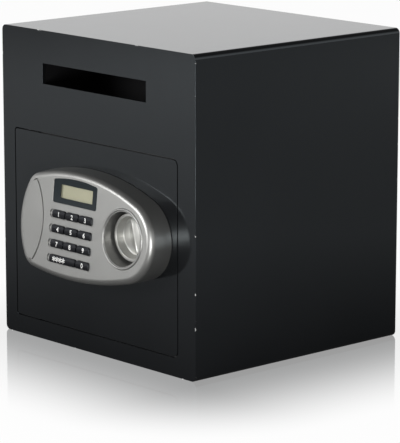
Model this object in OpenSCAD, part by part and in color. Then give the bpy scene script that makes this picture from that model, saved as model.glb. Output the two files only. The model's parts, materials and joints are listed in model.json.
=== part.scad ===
// Front-loading depository safe: steel cabinet with a deposit slot, flush door on a
// concealed hinge, electronic lock in an egg-shaped moulded housing, and sliding bolts.
// Millimetres, +Z up, front towards -Y, origin at the centre of the base's underside.

/* [Cabinet] */
// Outside width of the cabinet
body_w = 350; // [345:1:380]
// Depth of the cabinet from its front face to its back face
body_d = 330; // [300:1:400]
// Outside height of the cabinet
body_h = 380; // [378:1:440]
// Thickness of the sheet that wraps the sides, base and top
wrap_t = 3; // [2:0.5:4]
// Outside radius of the four long bends in the wrap
wrap_r = 6.5; // [5:0.5:8]
// Thickness of the front plate
front_t = 4.5; // [4.3:0.1:5]
// Thickness of the back plate
back_t = 3; // [2:0.5:4]
// Thickness of the felt mat on the floor inside
mat_t = 2.5; // [1.5:0.5:4]
// Gap between the mat and the walls around it
mat_margin = 5; // [2:1:12]

/* [Deposit slot and chute] */
// Width of the deposit slot
slot_w = 188; // [150:1:192]
// Height of the deposit slot
slot_h = 25; // [18:1:28]
// Depth of the slot's centre below the cabinet's top
slot_down = 52; // [44:1:58]
// Thickness of the chute's sheet
chute_t = 1.5; // [1:0.5:2]
// Room between the slot's edges and the chute's sheet
chute_room = 2; // [1:0.5:4]
// Reach of the chute into the cabinet, behind the front plate
chute_reach = 88; // [80:1:110]
// Width of the throat that deposits drop through
throat_w = 16; // [14:1:20]
// Drop of the chute floor from the slot to the throat
chute_fall = 30; // [24:1:36]
// Height of the chute's back wall
chute_back_h = 64; // [56:1:72]
// Pitch of the saw teeth along the throat
tooth_pitch = 12; // [10:1:16]
// Length of the saw teeth
tooth_l = 8; // [6:0.5:9]

/* [Door] */
// Width of the door plate
door_w = 295; // [285:1:298]
// Height of the door plate
door_h = 231; // [225:1:236]
// Height of the door's lower edge above the base
door_up = 24; // [22:1:28]
// Sideways shift of the door and slot from the cabinet's middle
door_shift = -4; // [-8:0.5:0]
// Thickness of the door plate
door_t = 4; // [3.5:0.1:4.2]
// Gap all round the door
door_gap = 1.6; // [1.4:0.1:2.2]
// Corner radius at the door's free edge
door_r_free = 7; // [5:0.5:9]
// Corner radius at the door's hinge edge
door_r_hinge = 3; // [2:0.5:4]
// Overlap of the stops behind the door's edges
stop_lap = 5; // [4:0.5:6]
// Thickness of the stops and the strike plate
stop_t = 3; // [2:0.5:3.5]
// Height of the two stop bars
stop_w = 20; // [16:1:24]
// Depth of the strike plate that the bolts pass through
strike_d = 40; // [32:1:46]
// Room round a bolt in its window in the strike plate
window_room = 1.5; // [1:0.1:3]

/* [Hinge] */
// Distance of the hinge axis from the door's hinge edge
hinge_in = 20; // [18:0.5:22]
// Distance of the hinge axis behind the front face
hinge_back = 8; // [7.8:0.1:8.4]
// Diameter of the hinge pins
pin_d = 6; // [5:0.5:6]
// Radial clearance of the pins in the brackets
pin_fit = 0.06; // [0.03:0.01:0.1]
// Height of the hinge blocks on the door
block_h = 34; // [26:1:44]
// Gap between the hinge blocks and the brackets
hinge_float = 0.3; // [0.2:0.1:0.5]
// Steel left round the pins in the blocks and brackets
hinge_wall = 6; // [5:0.5:7]
// Reach of the brackets to each side of the blocks
bracket_wing = 8; // [6:0.5:10]
// Thickness of the brackets
bracket_t = 6; // [4:0.5:8]

/* [Lock housing] */
// Distance of the knob's axis from the door's free edge
knob_in = 58.5; // [57:0.5:64]
// Height of the knob's axis above the door's lower edge
knob_up = 135; // [130:0.5:135]
// Depth of the housing at the knob's axis
face_depth = 33; // [32:0.5:38]
// Upward tilt of the housing's face, in degrees
face_tilt = 6; // [4:0.5:7]
// Wall of the housing
house_wall = 3; // [2.5:0.1:3.4]
// Radius of the housing's front edge
house_fillet = 7.5; // [5:0.5:9]
// Thickness of the gasket between the housing and the door
gasket_t = 1; // [0.5:0.1:1.5]
// Radius of the housing's round end
end_r = 50; // [48:0.5:52]
// Drop of that end's centre below the knob's axis
end_drop = 2.5; // [0:0.5:3.5]
// Distance from the knob's axis to the two small corners of the housing
corner_in = 158; // [154:0.5:162]
// Height of the upper small corner above the round end's centre
corner_hi = 35; // [32:0.5:37]
// Depth of the lower small corner below the round end's centre
corner_lo = 32.5; // [30:0.5:35]
// Radius of the two small corners
corner_r = 24; // [21:0.5:26]
// Radius of the housing's top sweep
sweep_top = 287; // [250:1:330]
// Radius of the housing's left end
sweep_end = 93; // [80:1:120]
// Radius of the housing's bottom sweep
sweep_low = 415; // [340:1:520]

/* [Knob] */
// Bore of the round recess that the knob sits in
recess_d = 64; // [62:0.5:66]
// Depth of the recess below the housing's face
recess_depth = 26.1; // [26:0.1:26.5]
// Width of the raised lip round the recess
lip_w = 3.2; // [2:0.2:4]
// Ledge between the bore and the lip
lip_gap = 0.8; // [0.6:0.1:1.2]
// Diameter of the knob's cup
knob_d = 57; // [56:0.5:58]
// Depth of the knob's rim below the housing's face
knob_sink = 12.5; // [11:0.1:12.5]
// Height of the knob's cup
knob_h = 13; // [12.9:0.1:13.1]
// Wall of the knob's cup at its rim
knob_rim = 4; // [3:0.1:4.5]
// Depth of the cup's hollow
dish_depth = 10; // [9:0.1:10]
// Diameter of the hollow's flat floor
dish_floor = 42; // [41:0.5:43]
// Width of the grip's leaf-shaped foot
grip_w = 24; // [18:0.5:26]
// Length of the grip, whose ends run into the cup's wall
grip_l = 48; // [47.5:0.1:48.5]
// Height of the grip above the hollow's floor
grip_h = 4.4; // [3.6:0.2:5]
// Turn of the grip from upright at rest, in degrees
grip_turn = 14; // [0:1:20]
// Diameter of the spindle
spindle_d = 8; // [7:0.5:9]
// Radial clearance of shafts in their bearings
shaft_fit = 0.05; // [0.03:0.01:0.1]

/* [Keypad] */
// Distance from the knob's axis to the keypad's middle column
pad_in = 91.5; // [89.5:0.1:91.5]
// Height of the top row above the knob's axis
row_top = 11.4; // [11:0.2:12.6]
// Pitch of the rows
row_pitch = 17.8; // [17:0.1:18.1]
// Pitch of the columns
col_pitch = 24.3; // [24:0.1:25]
// Width of a key
key_w = 22.3; // [20:0.1:22.4]
// Height of a key
key_h = 9.2; // [8:0.1:9.6]
// Gap round a key in its hole
key_gap = 0.35; // [0.3:0.05:0.5]
// Travel of a key
key_travel = 1.2; // [0.8:0.1:1.4]
// Height of a key's crown above the housing's face
key_proud = 1.2; // [0.8:0.1:1.6]
// Length of the recess that a row of keys sits in
row_l = 83; // [81:0.5:86]
// Height of that recess
row_h = 11.4; // [11:0.2:13]
// Depth of that recess
row_depth = 1.3; // [1:0.1:1.5]
// Thickness of the flange that keeps a key in
key_flange = 1.2; // [1:0.1:1.4]

/* [Display] */
// Width of the dark lens
lens_w = 79.6; // [74:0.2:80]
// Height of the lens at its sides
lens_h = 27.5; // [25:0.5:28]
// Rise of the lens's arched top
lens_rise = 3.6; // [2:0.2:4]
// Height of the lens's lower edge above the knob's axis
lens_up = 24.9; // [24.4:0.1:25.4]
// Shift of the lens from the keypad's middle, towards the knob
lens_shift = 2.2; // [0:0.1:3]
// Thickness of the lens
lens_t = 1.6; // [1.2:0.1:1.8]
// Width of the display
lcd_w = 59; // [54:0.5:60]
// Height of the display
lcd_h = 16; // [14:0.5:17]
// Shift of the display from the lens's middle, towards the knob
lcd_shift = 2; // [0:0.5:3]

/* [Keyhole cover and override lock] */
// Radius of the cover's arched edge
cover_r = 83.3; // [75:0.5:92]
// Distance from the knob's axis to the middle of that edge
cover_in = 144.2; // [143:0.2:146]
// Thickness of the cover
cover_t = 2.4; // [2:0.1:2.8]
// Gap round the cover
cover_gap = 0.35; // [0.3:0.05:0.5]
// Distance from the knob's axis to the override lock
override_in = 165; // [162:0.5:167]
// Diameter of the override lock's barrel
barrel_d = 16; // [14:0.5:18]
// Diameter of the override lock's plug
plug_d = 9; // [8:0.5:10]

/* [Boltwork] */
// Diameter of the bolts
bolt_d = 16; // [14:0.5:18]
// Distance of the two bolts above and below the knob's axis
bolt_reach = 60; // [56:0.5:61]
// Radius of the crank that throws the bolts
crank_r = 14; // [12:0.5:14.5]
// Diameter of the crank pin
crank_pin_d = 8; // [6:0.5:8]
// Side clearance of the crank pin in its slot
crank_fit = 0.8; // [0.7:0.05:1]
// Distance of the bolts' axes behind the door plate
bolt_behind = 14; // [13:0.5:15]
// Thickness of the bolt carriage
carriage_t = 3; // [2:0.5:3.5]
// Diameter of the studs that guide the carriage
stud_d = 6; // [5:0.5:7]
// Diameter of the solenoid's plunger
plunger_d = 6; // [5:0.5:7]
// Width of the solenoid
solenoid_w = 24; // [20:1:28]
// Height of the solenoid
solenoid_h = 25; // [20:1:25]

/* [Cover inside the door] */
// Depth of the cover behind the door plate
pan_d = 42; // [38:1:48]
// Thickness of the cover's sheet
pan_t = 1.5; // [1:0.5:2]
// Width of the flanges at its top and bottom
pan_flange = 10; // [8:0.5:10]
// Clearance between the door's ends and the flanges
pan_margin = 12; // [10:1:14]
// Diameter of a battery
cell_d = 14.5; // [14:0.1:14.8]
// Length of a battery
cell_l = 50.5; // [44:0.5:52]
// Number of batteries
cells = 4; // [3:1:4]
// Diameter of the reset button
reset_d = 7; // [6:0.5:8]

/* [Fixings] */
// Diameter of the anchor holes in the base and back
anchor_d = 12; // [8:0.5:14]
// Spacing of the base anchor holes, side to side
anchor_x = 200; // [160:1:240]
// Spacing of the base anchor holes, front to back
anchor_y = 180; // [120:1:200]
// Height of the back anchor holes above the base
anchor_z = 240; // [180:1:280]
// Spacing of the back anchor holes
anchor_back = 180; // [120:1:240]
// Thread diameter of the small screws
screw_d = 4; // [3:0.5:4]

/* [Hidden] */
$fn = 48;

// A cut runs this far past the faces that it cuts
over = 1;

// Cabinet planes
front_y = -body_d / 2;
back_y = body_d / 2;
plate_back = front_y + front_t;
inner_w = body_w - 2 * wrap_t;
inner_h = body_h - 2 * wrap_t;
slot_z = body_h - slot_down;

// Door edges and the opening round them
door_l = door_shift - door_w / 2;
door_r = door_shift + door_w / 2;
door_top = door_up + door_h;
door_back = front_y + door_t;
open_l = door_l - door_gap;
open_r = door_r + door_gap;
open_low = door_up - door_gap;
open_top = door_top + door_gap;
hinge_x = door_l + hinge_in;
hinge_y = front_y + hinge_back;
block_w = pin_d + 2 * hinge_wall;
block_back = hinge_y + pin_d / 2 + hinge_wall - 2;
bracket_back = block_back + 5;
stop_l = hinge_x + block_w / 2 + bracket_wing + 6;
strike_x = open_r - stop_lap;
strike_lap = 10;

// Housing frame: its axis is the knob's
knob_x = door_r - knob_in;
knob_z = door_up + knob_up;
face_y = front_y - face_depth;
foot_y = front_y - gasket_t;
key_back = house_wall + key_flange;
mat_front = key_back + key_travel + 0.1;
key_mat_t = 1.3;
board_front = mat_front + key_mat_t;
board_t = 1.6;
board_w = 90;
board_h = 108;
board_v = 0;
post_d = 5;
post_u = board_w / 2 - post_d / 2 - 0.3;
lens_sink = 0.6;
lcd_u = lcd_shift + lens_shift - pad_in;
lcd_v = lens_up + lens_h / 2 + 0.9;
boss_d = 8;
boss_v = 44;
bosses = [
    [-corner_in + 17, boss_v - end_drop], [-corner_in + 17, -boss_v - end_drop],
    [-20, 41 - end_drop], [-33, -46 - end_drop]];

// Boltwork planes behind the door plate, and its travel for a quarter turn
carriage_y = door_back + bolt_behind;
throw = 2 * crank_r * sin(45);
pin_dx = crank_r * sin(45);
hub_d = 20;
flange_t = 1.5;
cam_front = door_back + flange_t + 0.3;
cam_back = carriage_y - carriage_t / 2 - 1.5;
cam_arm_t = 4;
bolt_zs = [knob_z - bolt_reach, knob_z + bolt_reach];
stud_zs = [knob_z - bolt_reach + 24, knob_z + bolt_reach - 24];
stud_x = knob_x + 5;
carriage_l = knob_x - pin_dx - crank_pin_d / 2 - crank_fit - 7;
carriage_r = knob_x + 19;
guide_x = door_r - 16.5;
guide_t = 3;
bolt_tip = guide_x + guide_t + 1;
grip_depth = 10;
spindle_seat = 1;
stud_play = 0.3;
head_t = 2.4;
screw_grip = 3 * screw_d;
arm_z = [knob_z + pin_dx + crank_pin_d / 2 + 6.5, 10];
plunger_x = carriage_l - 3 - solenoid_w / 2;
plunger_z = arm_z[0] + arm_z[1] + 0.4;
collar_z = plunger_z + 7;
collar_t = 1.6;
spring_l = 7;
coil_z = collar_z + collar_t + spring_l;

// Cover inside the door
pan_back = door_back + pan_d;
pan_l = hinge_x + block_w / 2 + 10;
pan_r = guide_x - 0.5;
pan_low = door_up + pan_margin + pan_flange;
pan_top = door_top - pan_margin - pan_flange;
tray_t = 1.5;
cell_pitch = cell_d + 0.5;
tray_w = cell_l + 1.5 + 2 * tray_t;
tray_h = cells * cell_pitch + 0.5 + 2 * tray_t;
tray_d = cell_d + 0.8 + tray_t;
tray_x = pan_l + 72;
tray_z = pan_low + 14 + tray_h / 2;
lid_t = 2;
reset_x = pan_l + 22;
reset_z = pan_top - 40;
reset_travel = 1.5;
override_x = knob_x - override_in;

// Plain shapes

module block(low, high) translate(low) cube(high - low);

// A 2D drawing in X and Z, made thick from y towards the back
module slab(y, t) translate([0, y + t, 0]) rotate([90, 0, 0]) linear_extrude(t) children();

module rod_y(x, z, y0, y1, d) translate([x, y1, z]) rotate([90, 0, 0]) cylinder(d = d, h = y1 - y0);

module rod_x(x0, x1, y, z, d) translate([x0, y, z]) rotate([0, 90, 0]) cylinder(d = d, h = x1 - x0);

module rounded_rect(w, h, r) {
    square([w - 2 * r, h], center = true);
    square([w, h - 2 * r], center = true);
    for (x = [-1, 1], z = [-1, 1])
        translate([x * (w / 2 - r), z * (h / 2 - r)]) circle(r = r);
}

module stadium(l, h) {
    square([l - h, h], center = true);
    for (x = [-1, 1]) translate([x * (l - h) / 2, 0]) circle(d = h);
}

// Door outline, grown by a gap on every side
module door_plan(grow) {
    l = door_l - grow;
    r = door_r + grow;
    low = door_up - grow;
    top = door_top + grow;
    rf = door_r_free + grow;
    rh = door_r_hinge + grow;
    difference() {
        translate([l, low]) square([r - l, top - low]);
        for (end = [[low, 1], [top, -1]]) {
            translate([r, end[0]]) mirror([0, end[1] < 0 ? 1 : 0]) mirror([1, 0]) corner_cut(rf);
            translate([l, end[0]]) mirror([0, end[1] < 0 ? 1 : 0]) corner_cut(rh);
        }
    }
}

// The waste outside a rounded corner that lies at the origin
module corner_cut(r) difference() {
    translate([-over, -over]) square(r + over);
    translate([r, r]) circle(r = r);
}

// Housing outline: three corner circles joined by large tangent sweeps

corners = [for (c = [[0, 0], [-corner_in, corner_hi], [-corner_in, -corner_lo]]) c - [0, end_drop]];
corner_rs = [end_r, corner_r, corner_r];
sweeps = [sweep_top, sweep_end, sweep_low];
corner_steps = [14, 6, 6];
sweep_steps = [9, 5, 9];

// Centre of the sweep that both circles touch from inside
function sweep_centre(i) =
    let(j = (i + 1) % 3, d1 = sweeps[i] - corner_rs[i], d2 = sweeps[i] - corner_rs[j],
        along = corners[j] - corners[i], len2 = along * along, len1 = sqrt(len2),
        a = (len2 + d1 * d1 - d2 * d2) / (2 * len1), e = along / len1)
    corners[i] + a * e + sqrt(d1 * d1 - a * a) * [-e[1], e[0]];

function angle_of(v) = atan2(v[1], v[0]);

// The angle b, turned on until it follows a
function after(a, b) = b < a ? after(a, b + 360) : b;

function arc(c, r, a, b, steps, first = 0) =
    [for (k = [first:steps]) let(t = a + (b - a) * k / steps) c + r * [cos(t), sin(t)]];

function egg(inset) = [for (i = [0:2])
    let(before = sweep_centre((i + 2) % 3), next = sweep_centre(i), j = (i + 1) % 3,
        a0 = angle_of(corners[i] - before), a1 = after(a0, angle_of(corners[i] - next)),
        a2 = after(a1, angle_of(corners[j] - next)))
    each concat(
        arc(corners[i], corner_rs[i] - inset, a0, a1, corner_steps[i]),
        [for (k = [1:sweep_steps[i] - 1]) let(t = a1 + (a2 - a1) * k / sweep_steps[i])
            next + (sweeps[i] - inset) * [cos(t), sin(t)]])];

// Points of a drawing on the door plane at y, and on the tilted face at a height z
function door_points(plan, y) = [for (p = plan) [knob_x + p[0], y, knob_z + p[1]]];
function face_points(plan, z) = [for (p = plan)
    [knob_x + p[0],
     face_y + p[1] * sin(face_tilt) - z * cos(face_tilt),
     knob_z + p[1] * cos(face_tilt) + z * sin(face_tilt)]];

// The tilted face, with X along it, Y up it and Z out of it
module on_face() translate([knob_x, face_y, knob_z]) rotate([90 - face_tilt, 0, 0]) children();

// A closed skin through rings of equally many points
module loft(rings) {
    n = len(rings[0]);
    last = (len(rings) - 1) * n;
    polyhedron(
        points = [for (r = rings) each r],
        faces = concat(
            [[for (i = [0:n - 1]) i]],
            [for (k = [0:len(rings) - 2], i = [0:n - 1]) let(j = (i + 1) % n, a = k * n, b = a + n)
                each [[a + i, b + i, b + j], [a + i, b + j, a + j]]],
            [[for (i = [n - 1:-1:0]) last + i]]));
}

// The housing's form: upright sides and a rounded front edge on the tilted face
module egg_form(foot, top, inset, fillet, steps = 5) loft(concat(
    [door_points(egg(inset), foot)],
    [for (k = [0:steps]) let(a = 90 * k / steps)
        face_points(egg(inset + fillet * (1 - cos(a))), top - fillet * (1 - sin(a)))]));

// Cabinet

module body_wrap() color("#202224") difference() {
    slab(front_y, body_d) translate([0, body_h / 2]) rounded_rect(body_w, body_h, wrap_r);
    slab(front_y - over, body_d + 2 * over)
        translate([0, body_h / 2]) rounded_rect(inner_w, inner_h, wrap_r - wrap_t);
    for (x = [-1, 1], y = [-1, 1])
        translate([x * anchor_x / 2, y * anchor_y / 2, -over]) cylinder(d = anchor_d, h = wrap_t + 2 * over);
}

module front_plate() color("#2b2e31") slab(front_y, front_t) difference() {
    translate([0, body_h / 2]) rounded_rect(inner_w, inner_h, wrap_r - wrap_t);
    door_plan(door_gap);
    translate([door_shift, slot_z]) square([slot_w, slot_h], center = true);
}

module back_plate() color("#202224") difference() {
    slab(back_y - back_t, back_t)
        translate([0, body_h / 2]) rounded_rect(inner_w, inner_h, wrap_r - wrap_t);
    for (x = [-1, 1])
        rod_y(x * anchor_back / 2, anchor_z, back_y - back_t - over, back_y + over, anchor_d);
}

// Angle behind the front plate: the bolts pass through two windows in its deep web
module strike_plate() color("#3a3d40") difference() {
    low = open_low - strike_lap;
    high = open_top + strike_lap;
    window = bolt_d / 2 + window_room;
    union() {
        block([strike_x, plate_back, low], [inner_w / 2, plate_back + stop_t, high]);
        block([strike_x, plate_back, low], [strike_x + stop_t, plate_back + strike_d, high]);
    }
    for (z = bolt_zs)
        block([strike_x - over, carriage_y - window, z - window],
              [strike_x + stop_t + over, carriage_y + window, z + window]);
}

// Flat bars behind the front plate, above and below the opening
module door_stops() color("#3a3d40") {
    for (z = [open_low + stop_lap - stop_w, open_top - stop_lap])
        block([stop_l, plate_back, z], [strike_x, plate_back + stop_t, z + stop_w]);
}

module hinge_brackets() color("#3a3d40") difference() {
    for (z = [door_up - hinge_float - bracket_t, door_top + hinge_float])
        block([hinge_x - block_w / 2 - bracket_wing, plate_back, z],
              [hinge_x + block_w / 2 + bracket_wing, bracket_back, z + bracket_t]);
    for (z = [door_up - hinge_float - bracket_t, door_top + hinge_float])
        translate([hinge_x, hinge_y, z - over]) cylinder(r = pin_d / 2 + pin_fit, h = bracket_t + 2 * over);
}

// Chute: cheeks, sloping floor, roof and back wall round a narrow throat

chute_w = slot_w + 2 * chute_room;
chute_low = slot_z - slot_h / 2 - chute_room;
chute_top = slot_z + slot_h / 2 + chute_room;
chute_back = plate_back + chute_reach;
floor_end = chute_back - chute_t - throat_w;

module chute_side_plan() polygon([
    [plate_back, chute_low - chute_t], [plate_back, chute_top + chute_t],
    [chute_back, chute_top + chute_t], [chute_back, chute_top - chute_back_h],
    [floor_end, chute_low - chute_fall - chute_t]]);

module along_x(x, t) translate([x, 0, 0]) rotate([90, 0, 90]) linear_extrude(t) children();

module deposit_chute() color("#3a3d40") difference() {
    along_x(door_shift - chute_w / 2 - chute_t, chute_w + 2 * chute_t) chute_side_plan();
    along_x(door_shift - chute_w / 2, chute_w) polygon([
        [plate_back - over, chute_low], [plate_back - over, chute_top],
        [chute_back - chute_t, chute_top], [chute_back - chute_t, chute_top - chute_back_h - over],
        [chute_back - chute_t, chute_low - chute_fall - 60],
        [floor_end, chute_low - chute_fall - 60], [floor_end, chute_low - chute_fall],
        [plate_back, chute_low]]);
}

// Saw-tooth strip on the end of the chute floor, against fishing through the slot
module chute_teeth() color("#55585b") {
    count = floor((chute_w - 4) / tooth_pitch);
    start = door_shift - count * tooth_pitch / 2;
    strip_h = 4 * chute_t;
    strip_z = chute_low - chute_fall - chute_t - strip_h;
    block([start, floor_end - chute_t, strip_z], [start + count * tooth_pitch, floor_end, strip_z + strip_h]);
    translate([0, 0, strip_z]) linear_extrude(chute_t) for (k = [0:count - 1])
        polygon([[start + k * tooth_pitch, floor_end - 0.1], [start + (k + 0.5) * tooth_pitch, floor_end + tooth_l],
                 [start + (k + 1) * tooth_pitch, floor_end - 0.1]]);
}

module floor_mat() color("#5a5c5e") translate([0, 0, wrap_t]) difference() {
    translate([-inner_w / 2 + mat_margin, door_back + pan_d + lid_t + mat_margin, 0])
        cube([inner_w - 2 * mat_margin, back_y - back_t - door_back - pan_d - lid_t - 2 * mat_margin, mat_t]);
    for (x = [-1, 1], y = [-1, 1])
        translate([x * anchor_x / 2, y * anchor_y / 2, -over]) cylinder(d = anchor_d + 8, h = mat_t + 2 * over);
}

// Door

module door_plate() color("#2b2e31") difference() {
    slab(front_y, door_t) door_plan(0);
    rod_y(knob_x, knob_z, front_y - over, door_back + over, spindle_d + 4);
    rod_y(override_x, knob_z, front_y - over, door_back + over, barrel_d);
    rod_y(knob_x - 50, knob_z, front_y - over, door_back + over, 14);
    for (b = bosses) rod_y(knob_x + b[0], knob_z + b[1], front_y - over, door_back + over, screw_d + 0.4);
}

module hinge_blocks() color("#3a3d40") difference() {
    for (z = [door_up, door_top - block_h])
        block([hinge_x - block_w / 2, door_back, z], [hinge_x + block_w / 2, block_back, z + block_h]);
    for (z = [door_up, door_top - block_h])
        translate([hinge_x, hinge_y, z - over]) cylinder(d = pin_d, h = block_h + 2 * over);
}

module hinge_pins() color("silver") {
    pin_l = block_h + hinge_float + bracket_t + 2;
    for (z = [door_up - hinge_float - bracket_t - 2, door_top - block_h])
        translate([hinge_x, hinge_y, z]) cylinder(d = pin_d, h = pin_l);
}

// Folded pan over the boltwork, flanged above and below and open towards the door plate
module door_cover() color("#303336") difference() {
    union() {
        block([pan_l, door_back, pan_low], [pan_r, pan_back, pan_top]);
        block([pan_l, door_back, pan_low - pan_flange], [pan_r, door_back + pan_t, pan_top + pan_flange]);
    }
    block([pan_l + pan_t, door_back - over, pan_low + pan_t], [pan_r - pan_t, pan_back - pan_t, pan_top - pan_t]);
    for (z = bolt_zs) rod_x(pan_r - pan_t - over, pan_r + over, carriage_y, z, bolt_d + 1.4);
    block([tray_x - tray_w / 2, pan_back - pan_t - over, tray_z - tray_h / 2],
          [tray_x + tray_w / 2, pan_back + over, tray_z + tray_h / 2]);
    rod_y(reset_x, reset_z, pan_back - pan_t - over, pan_back + over, reset_d + 0.6);
    for (x = cover_screw_xs, z = cover_screw_zs)
        rod_y(x, z, door_back - over, door_back + pan_t + over, screw_d);
}

cover_screw_xs = [pan_l + 12, (pan_l + pan_r) / 2, pan_r - 12];
cover_screw_zs = [pan_low - pan_flange / 2, pan_top + pan_flange / 2];

// A round-headed screw with a cross recess, its head at the back
module screw(x, z, head_y, l) difference() {
    union() {
        rod_y(x, z, head_y - l, head_y, screw_d);
        rod_y(x, z, head_y, head_y + head_t, screw_d * 1.9);
    }
    for (a = [0, 90]) translate([x, head_y + head_t, z]) rotate([0, a, 0])
        cube([screw_d, 2.4, 0.9], center = true);
}

module cover_screws() color("silver")
    for (x = cover_screw_xs, z = cover_screw_zs) screw(x, z, door_back + pan_t, pan_t);

module housing_screws() color("silver")
    for (b = bosses) screw(knob_x + b[0], knob_z + b[1], door_back, door_t + screw_grip);

// Angle whose web carries the bolts in two bores
module bolt_guide() color("#3a3d40") difference() {
    low = bolt_zs[0] - bolt_d / 2 - 6;
    high = bolt_zs[1] + bolt_d / 2 + 6;
    union() {
        block([guide_x, door_back, low], [guide_x + guide_t, carriage_y + bolt_d / 2 + 3, high]);
        block([guide_x, door_back, low], [guide_x + 12, door_back + guide_t, high]);
    }
    for (z = bolt_zs) translate([guide_x - over, carriage_y, z]) rotate([0, 90, 0])
        cylinder(r = bolt_d / 2 + shaft_fit, h = guide_t + 2 * over);
}

module guide_studs() color("silver") for (z = stud_zs) {
    rod_y(stud_x, z, door_back, carriage_y + carriage_t / 2 + 0.4, stud_d);
    rod_y(stud_x, z, carriage_y + carriage_t / 2 + 0.4, carriage_y + carriage_t / 2 + 2.4, stud_d * 2);
}

// Lock housing

module cover_plan(shrink) offset(r = 3 - shrink, $fn = 24) offset(delta = -3) intersection() {
    polygon(egg(house_fillet + 1));
    translate([-cover_in - cover_r, 1.5 - end_drop]) circle(r = cover_r, $fn = 120);
}

module lens_plan(shrink) offset(r = 3 - shrink, $fn = 24) offset(delta = -3) intersection() {
    translate([-lens_w / 2, 0]) square([lens_w, lens_h + lens_rise]);
    arch_r = (lens_w * lens_w / 4 + lens_rise * lens_rise) / (2 * lens_rise);
    translate([0, lens_h + lens_rise - arch_r]) circle(r = arch_r, $fn = 180);
}

module at_lens() translate([lens_shift - pad_in, lens_up]) children();

key_vs = [for (k = [0:3]) row_top - k * row_pitch];

module lock_housing() color("#a2a29c") difference() {
    union() {
        difference() {
            egg_form(foot_y, 0, 0, house_fillet);
            egg_form(foot_y + over, -house_wall, house_wall, house_fillet - house_wall);
        }
        intersection() {
            egg_form(foot_y, -0.8, 0.8, house_fillet);
            rod_y(knob_x, knob_z, face_y - 20, face_y + recess_depth + 2, recess_d + 4.4);
        }
        on_face() translate([0, 0, -cover_t - 0.1 - house_wall])
            linear_extrude(house_wall + 0.5) cover_plan(-2);
        intersection() {
            egg_form(foot_y, -1, 1, house_fillet);
            for (b = bosses) rod_y(knob_x + b[0], knob_z + b[1], face_y - 20, foot_y, boss_d);
        }
        on_face() for (u = [-1, 1], v = [lens_up - 1, row_top - 3 * row_pitch - 5.5])
            translate([-pad_in + u * post_u, v, -board_front]) cylinder(d = post_d, h = board_front - 1);
        on_face() translate([0, 0, -0.4])
            rotate_extrude() translate([recess_d / 2 + lip_gap + lip_w / 2, 0]) circle(d = lip_w, $fn = 24);
    }
    rod_y(knob_x, knob_z, face_y - 20, face_y + recess_depth, recess_d);
    rod_y(knob_x, knob_z, face_y, face_y + recess_depth + 2 + over, spindle_d + 6);
    on_face() translate([0, 0, -cover_t - 0.1]) linear_extrude(cover_t + over) cover_plan(0);
    rod_y(override_x, knob_z, face_y - 20, foot_y + over, barrel_d + 0.4);
    on_face() translate([0, 0, -lens_sink - lens_t]) linear_extrude(lens_t + 2) at_lens() lens_plan(0);
    on_face() translate([lcd_u, lcd_v, -house_wall - over]) linear_extrude(house_wall + 2)
        square([lcd_w + 3, lcd_h + 3], center = true);
    on_face() for (v = key_vs) translate([-pad_in, v, -row_depth])
        linear_extrude(row_depth + over) stadium(row_l, row_h);
    on_face() for (k = [0:10]) translate([key_u(k), key_v(k), -house_wall - over])
        linear_extrude(house_wall + 2 * over) rounded_rect(key_width(k) + 2 * key_gap, key_h + 2 * key_gap, 2.2);
    for (b = bosses) rod_y(knob_x + b[0], knob_z + b[1], front_y - screw_grip - 2, foot_y + over, screw_d);
}

module housing_gasket() color("#3c3e40") difference() {
    slab(foot_y, gasket_t) translate([knob_x, knob_z]) difference() {
        polygon(egg(0.3));
        polygon(egg(house_wall + 3));
    }
}

module display_lens() color("#262c36") on_face() translate([0, 0, -lens_sink - lens_t])
    linear_extrude(lens_t) at_lens() lens_plan(0.15);

// Display glass on its frame, standing on the circuit board
module display_panel() color("#aeac87") on_face() {
    front = house_wall + 0.3;
    translate([lcd_u, lcd_v, -board_front]) linear_extrude(board_front - front)
        square([lcd_w + 5, lcd_h + 6], center = true);
}

module circuit_board() color("#2e5a3c") on_face() translate([-pad_in, board_v, -board_front - board_t])
    linear_extrude(board_t) square([board_w, board_h], center = true);

// Rubber mat with one dome under every key
module key_mat() color("#4a4c4e") on_face() {
    translate([-pad_in, row_top - 1.5 * row_pitch, -board_front]) linear_extrude(key_mat_t - 0.5)
        square([3 * col_pitch + 6, 4 * row_pitch - 4], center = true);
    for (k = [0:10]) translate([key_u(k), key_v(k), -board_front]) cylinder(d1 = 8, d2 = 5, h = key_mat_t);
}

// Keys: 0 to 8 in three rows of three, 9 the double key and 10 the single key below
function key_u(k) = k < 9 ? -pad_in + (k % 3 - 1) * col_pitch : -pad_in + (k == 9 ? -0.5 : 1) * col_pitch;
function key_v(k) = key_vs[min(floor(k / 3), 3)];
function key_width(k) = k == 9 ? key_w + col_pitch : key_w;

module key(k) color("#141517") on_face() translate([key_u(k), key_v(k), -key_back]) {
    w = key_width(k);
    crown_r = 13.6;
    intersection() {
        linear_extrude(key_back + key_proud) rounded_rect(w, key_h, 1.8);
        translate([0, 0, key_back + key_proud - crown_r]) rotate([0, 90, 0])
            cylinder(r = crown_r, h = w + 2, center = true);
    }
    linear_extrude(key_flange) rounded_rect(w + 1.3, key_h + 3.2, 1.2);
}

module keyhole_cover() color("#a2a29c") on_face() translate([0, 0, -cover_t])
    linear_extrude(cover_t) cover_plan(cover_gap);

// Knob

module on_knob() translate([knob_x, face_y, knob_z]) rotate([90, 0, 0]) children();

// A leaf-shaped ring at height z, pointed at both ends
function leaf(l, w, z, n = 12) = [for (i = [0:2 * n - 1])
    let(side = i < n ? 1 : -1, t = side * (2 * (i % n) / n - 1)) [side * w / 2 * (1 - t * t), t * l / 2, z]];

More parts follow.
